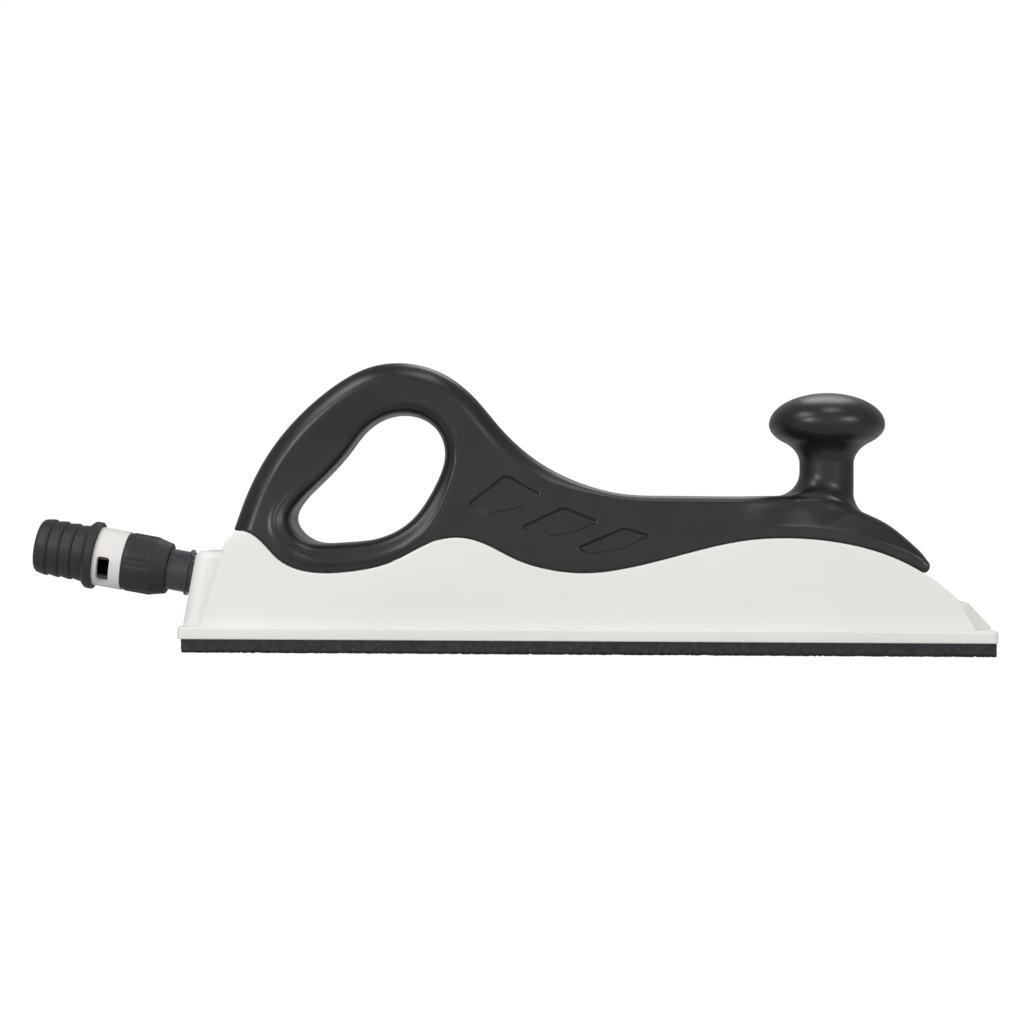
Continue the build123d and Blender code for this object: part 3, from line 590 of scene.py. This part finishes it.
def moulded(name, dark, light, rough, grain, grain_depth, coat=0.0, specular=0.5, mottle=30.0, sheen=0.0):
    """A moulded material: mottled colour and roughness over a fine grain."""
    mat = bpy.data.materials.new(name)
    mat.use_nodes = True
    tree = mat.node_tree
    nodes = tree.nodes
    link = tree.links.new
    shader = nodes["Principled BSDF"]
    shader.inputs["Specular IOR Level"].default_value = specular
    shader.inputs["Coat Weight"].default_value = coat
    shader.inputs["Coat Roughness"].default_value = 0.25
    shader.inputs["Sheen Weight"].default_value = sheen
    coord = nodes.new("ShaderNodeTexCoord")
    cloud = nodes.new("ShaderNodeTexNoise")
    cloud.inputs["Scale"].default_value = mottle
    cloud.inputs["Detail"].default_value = 4
    link(coord.outputs["Object"], cloud.inputs["Vector"])
    colours = nodes.new("ShaderNodeValToRGB")
    colours.color_ramp.elements[0].position = 0.3
    colours.color_ramp.elements[0].color = dark
    colours.color_ramp.elements[1].position = 0.7
    colours.color_ramp.elements[1].color = light
    link(cloud.outputs["Fac"], colours.inputs["Fac"])
    link(colours.outputs["Color"], shader.inputs["Base Color"])
    spread = nodes.new("ShaderNodeMapRange")
    spread.inputs["To Min"].default_value = rough - 0.05
    spread.inputs["To Max"].default_value = rough + 0.05
    link(cloud.outputs["Fac"], spread.inputs["Value"])
    link(spread.outputs["Result"], shader.inputs["Roughness"])
    fine = nodes.new("ShaderNodeTexNoise")
    fine.inputs["Scale"].default_value = grain
    fine.inputs["Detail"].default_value = 3
    link(coord.outputs["Object"], fine.inputs["Vector"])
    bump = nodes.new("ShaderNodeBump")
    bump.inputs["Strength"].default_value = 0.5
    bump.inputs["Distance"].default_value = grain_depth
    link(fine.outputs["Fac"], bump.inputs["Height"])
    link(bump.outputs["Normal"], shader.inputs["Normal"])
    return mat


WHITE = moulded("white_plastic", rgb(232, 230, 226), rgb(236, 234, 230), 0.4, 1800, 0.00002, mottle=14)
RING_WHITE = moulded(
    "ring_white_plastic", rgb(225, 222, 219), rgb(229, 226, 223), 0.35, 1800, 0.00002, mottle=60)
BLACK = moulded("black_plastic", rgb(24, 24, 26), rgb(30, 30, 32), 0.32, 2600, 0.00002, mottle=40)
BLACK_DULL = moulded(
    "black_dull_plastic", rgb(36, 36, 38), rgb(42, 42, 44), 0.52, 2200, 0.00003, specular=0.4, mottle=60)
TUBE = moulded("tube_plastic", rgb(44, 46, 50), rgb(54, 56, 60), 0.2, 900, 0.00001, coat=0.3, mottle=60)
FOAM = moulded("foam", rgb(44, 44, 46), rgb(62, 62, 64), 0.85, 900, 0.0002, specular=0.25, mottle=420)
HOOK = moulded(
    "hook_fabric", rgb(24, 24, 25), rgb(54, 54, 56), 0.95, 1500, 0.0003, specular=0.15, mottle=900, sheen=0.2)
GREY = moulded("grey_plastic", rgb(70, 70, 73), rgb(80, 80, 83), 0.5, 1500, 0.00003)
RUBBER = moulded("rubber", rgb(22, 22, 23), rgb(30, 30, 31), 0.6, 1200, 0.00003)
STEEL = moulded("steel", rgb(168, 168, 170), rgb(188, 188, 190), 0.3, 1500, 0.00002, mottle=200)
STEEL.node_tree.nodes["Principled BSDF"].inputs["Metallic"].default_value = 1.0


def finish_piece(obj, material, body, slot, *replaced):
    """Gives a piece its material and its body, and hides the CAD nodes that it stands for. slot is not used.
    """
    obj.data.materials.clear()
    obj.data.materials.append(material)
    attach(obj, body)
    if replaced:
        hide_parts(*replaced)


# ---------------------------------------------------------------- handle
handle_right = grow_shell("handle_shell_right", -1)
finish_piece(handle_right, BLACK, "block", "black_plastic", "handle_right")
handle_left = grow_shell("handle_shell_left", 1)
finish_piece(handle_left, BLACK, "block", "black_plastic", "handle_left")

# ---------------------------------------------------------------- housing
shell = bpy.data.objects.new("housing_shell", NODES["housing"].data.copy())
bpy.context.scene.collection.objects.link(shell)
bm = bmesh.new()
bm.from_mesh(shell.data)
bmesh.ops.remove_doubles(bm, verts=bm.verts, dist=2e-6)
bm.to_mesh(shell.data)
bm.free()
smooth_by_angle(shell, 28)
finish_piece(shell, WHITE, "block", "white_plastic", "housing")

# ---------------------------------------------------------------- pad
PAD_HALF_LENGTH = 200
PAD_HALF_WIDTH = 35
PAD_CORNERS = [(x * PAD_HALF_LENGTH, y * PAD_HALF_WIDTH) for x, y in ((-1, -1), (1, -1), (1, 1), (-1, 1))]
PAD_OUTLINE = dense(rounded_polygon(PAD_CORNERS, 3.0), 0.9)
DUST_HOLES = [(x, y) for x in range(-174, 175, 58) for y in (-20, 20)]
DUST_HOLE_RADIUS = 4.0
FOAM_LEVELS = (1.4, 2.7, 4.0, 5.4, 6.7)
HOOK_LEVELS = (0.0, 0.45, 0.95, 1.4)


def ring_at(cx, cy, r, count=32):
    """The outline of a round hole."""
    return [(cx + r * cos(2 * pi * k / count), cy + r * sin(2 * pi * k / count)) for k in range(count)]


FUZZ = np.random.default_rng(7).normal(0, 1, (8, len(PAD_OUTLINE)))


def at_end(q):
    """Whether a point of the pad lies at its front or rear end."""
    return abs(q.x) > PAD_HALF_LENGTH - 1


def across_edge(q, push):
    """A push towards the middle plane, for points on the long sides."""
    return push * (1 if q.y > 0 else -1) if abs(q.y) > PAD_HALF_WIDTH - 1 else 0


def foam_edge(i, q, level):
    """How far a point on the cut edge of the foam is out of line. Both ends are moved towards -X."""
    push = -0.12 * abs(FUZZ[level, i])
    return push if at_end(q) else 0, across_edge(q, push), 0


def hook_edge(i, q, level):
    """How far a point on the edge of the hook tape is drawn in and, at its lowest level, lifted."""
    push = -0.25 * abs(FUZZ[level + 4, i])
    lift = 0.22 * abs(FUZZ[level + 3, i]) if level == 0 else 0
    return push * (1 if q.x > 0 else -1) if at_end(q) else 0, across_edge(q, push), lift


holes = [ring_at(x, y, DUST_HOLE_RADIUS) for x, y in DUST_HOLES]
foam = plate("pad_foam", PAD_OUTLINE, holes, FOAM_LEVELS, foam_edge)
finish_piece(foam, FOAM, "block", "foam", "foam_pad")
hook = plate("pad_hook_layer", PAD_OUTLINE, holes, HOOK_LEVELS, hook_edge)
finish_piece(hook, HOOK, "block", "hook_fabric", "hook_layer")

# ---------------------------------------------------------------- hose connector
TUBE_PROFILE = [
    # inner end, with the groove for the clip
    (TUBE_BORE, -16), (TUBE_RADIUS, -16), (TUBE_RADIUS, -13.78), (9.8, -13.78), (9.8, -12.68),
    (TUBE_RADIUS, -12.68),
    # collar outside the port
    (TUBE_RADIUS, 3.2), (11.7, 3.2), (11.7, 4.6), (TUBE_RADIUS, 4.6),
    # barrel under the regulator, with the groove for the O-ring
    (TUBE_RADIUS, 17.0), (BARREL_RADIUS, 17.0), (BARREL_RADIUS, 20.0), (10.7, 20.0), (10.7, 21.8),
    (BARREL_RADIUS, 21.8), (BARREL_RADIUS, 49.0),
    # spigot in the cuff
    (10.9, 49.0), (10.9, 62.2), (TUBE_BORE, 62.2),
]
tube = lathe("tube_swivel", rounded_polygon(TUBE_PROFILE, 0.2))
cut(tube, window_cutter(7.5, 12.6, 93, 147))
finish_piece(tube, TUBE, "hose_connector", "tube_plastic", "swivel_tube")

CUFF_PROFILE = [(10.95, 51.0), (17.1, 51.0), (17.1, 54.6), (15.3, 56.4)]
for k in range(BARB_COUNT):
    start = 56.4 + BARB_PITCH * k
    fall = BARB_PITCH if k < BARB_COUNT - 1 else 5.4
    CUFF_PROFILE += [(14.3, start), (14.3, start + 1.5), (13.5, start + fall)]
CUFF_PROFILE += [(12.3, 81.3), (10.6, 81.3), (10.6, 62.3), (10.95, 62.3)]
cuff = lathe("cuff_barbed", rounded_polygon(CUFF_PROFILE, 0.75))
finish_piece(cuff, BLACK_DULL, "hose_connector", "black_plastic", "hose_cuff")


def grip_ribs(r, w, angle):
    """Height of the sleeve's grip ribs."""
    if r < RIB_ROOT:
        return 0
    turned = (angle - RIB_FIRST + RIB_PITCH / 2) % RIB_PITCH - RIB_PITCH / 2
    across = ramp(2.9 - abs(turned) * SLEEVE_RADIUS, 0.0, 1.1)
    along = ramp(w, 20.2, 22.4) * ramp(35.6 - w, 0.0, 1.6)
    return RIB_HEIGHT * float(across * along)


SLEEVE_PROFILE = [
    (RUNNING_BORE, 14.2), (12.8, 14.2), (14.35, 20.9), (SLEEVE_RADIUS, 36.4), (12.0, 36.4),
    (12.0, 16.92), (RUNNING_BORE, 16.92),
]
sleeve = lathe("regulator_grip_sleeve", dense(rounded_polygon(SLEEVE_PROFILE, 0.7), 1.0), 360, grip_ribs)
finish_piece(sleeve, BLACK_DULL, "regulator", "black_plastic", "regulator_sleeve")

RING_PROFILE = [(12.0, 36.5), (14.9, 36.5), (14.9, 50.9), (10.98, 50.9), (10.98, 49.08), (12.0, 49.08)]
ring = lathe("bleed_ring_white", rounded_polygon(RING_PROFILE, 0.35), 180)
cut(ring, window_cutter(11.0, 16.0, 87, 154))
smooth_by_angle(ring, 30)
finish_piece(ring, RING_WHITE, "regulator", "white_plastic", "bleed_ring")

SEAL_PROFILE = [(RUNNING_BORE, -2.0), (11.6, -2.0), (11.6, 0.5), (RUNNING_BORE, 0.5)]
seal = lathe("port_lip_seal", rounded_polygon(SEAL_PROFILE, 0.3))
finish_piece(seal, RUBBER, "block", "rubber", "port_seal")

for node, material in {
    "base_plate": GREY,
    "plate_gasket": RUBBER,
    "plate_screws": STEEL,
    "handle_clamp_screws": STEEL,
    "handle_mount_screws": STEEL,
    "tube_clip": STEEL,
    "regulator_o_ring": RUBBER,
}.items():
    NODES[node].data.materials.clear()
    NODES[node].data.materials.append(material)

# ---------------------------------------------------------------- floor, light and camera
def by_ray(tree, for_light, for_camera):
    """One shader for light and reflections, and another one for what the camera sees directly."""
    path = tree.nodes.new("ShaderNodeLightPath")
    mix = tree.nodes.new("ShaderNodeMixShader")
    tree.links.new(path.outputs["Is Camera Ray"], mix.inputs["Fac"])
    tree.links.new(for_light, mix.inputs[1])
    tree.links.new(for_camera, mix.inputs[2])
    return mix.outputs["Shader"]


floor = mesh_object("floor", [(-5, -0.75, 0), (5, -0.75, 0), (5, 6, 0), (-5, 6, 0)], [(0, 1, 2, 3)], False)
floor_mat = bpy.data.materials.new("floor_white")
floor_mat.use_nodes = True
tree = floor_mat.node_tree
floor_shader = tree.nodes["Principled BSDF"]
floor_shader.inputs["Base Color"].default_value = (0.6, 0.6, 0.6, 1)
floor_shader.inputs["Roughness"].default_value = 0.9
floor_shader.inputs["Specular IOR Level"].default_value = 0.0
paper = tree.nodes.new("ShaderNodeEmission")
paper.inputs["Strength"].default_value = 1.02
surface = by_ray(tree, floor_shader.outputs["BSDF"], paper.outputs["Emission"])
tree.links.new(surface, tree.nodes["Material Output"].inputs["Surface"])
floor.data.materials.append(floor_mat)

world = bpy.data.worlds.new("studio")
bpy.context.scene.world = world
world.use_nodes = True
tree = world.node_tree
tree.nodes.clear()
coord = tree.nodes.new("ShaderNodeTexCoord")
split = tree.nodes.new("ShaderNodeSeparateXYZ")
tree.links.new(coord.outputs["Generated"], split.inputs["Vector"])
side_on = tree.nodes.new("ShaderNodeMapRange")
side_on.inputs["From Min"].default_value = -1.0
tree.links.new(split.outputs["Y"], side_on.inputs["Value"])
sky = tree.nodes.new("ShaderNodeValToRGB")
sky.color_ramp.elements[0].color = (0.85, 0.85, 0.85, 1)
sky.color_ramp.elements[1].color = (0.42, 0.42, 0.42, 1)
for place, level in ((0.2, 0.5), (0.45, 0.28), (0.75, 0.3)):
    sky.color_ramp.elements.new(place).color = (level, level, level, 1)
tree.links.new(side_on.outputs["Result"], sky.inputs["Fac"])
soft = tree.nodes.new("ShaderNodeBackground")
tree.links.new(sky.outputs["Color"], soft.inputs["Color"])
soft.inputs["Strength"].default_value = 1.0
plain = tree.nodes.new("ShaderNodeBackground")
plain.inputs["Color"].default_value = (1, 1, 1, 1)
world_out = tree.nodes.new("ShaderNodeOutputWorld")
surface = by_ray(tree, soft.outputs["Background"], plain.outputs["Background"])
tree.links.new(surface, world_out.inputs["Surface"])


def softbox(name, place, size, power, target=(0, 0, 0.07)):
    """An area light that looks at the middle of the block."""
    data = bpy.data.lights.new(name, "AREA")
    data.shape = "RECTANGLE"
    data.size, data.size_y = size
    data.energy = power
    light = bpy.data.objects.new(name, data)
    bpy.context.scene.collection.objects.link(light)
    light.location = place
    light.rotation_euler = (Vector(target) - Vector(place)).to_track_quat("-Z", "Y").to_euler()


softbox("high_left_softbox", (-0.85, -0.42, 1.20), (0.5, 0.5), 4.2)
softbox("top_softbox", (0.20, -0.36, 1.42), (0.5, 0.4), 2.4)
softbox("low_left_softbox", (-0.95, -1.06, 0.60), (0.5, 0.5), 5.4)
softbox("low_right_softbox", (0.98, -1.16, 0.66), (0.55, 0.45), 4.6)
softbox("rear_softbox", (0.25, 0.85, 1.30), (0.7, 0.7), 4.5)

camera_data = bpy.data.cameras.new("camera")
camera_data.sensor_width = 36
camera_data.lens = 65.8
camera_data.clip_start = 0.01
camera = bpy.data.objects.new("camera", camera_data)
bpy.context.scene.collection.objects.link(camera)
camera.location = (-0.0381, -0.950, 0.0698)
camera.rotation_euler = (radians(90), radians(-0.33), 0)
bpy.context.scene.camera = camera
bpy.context.scene.view_settings.view_transform = "Standard"
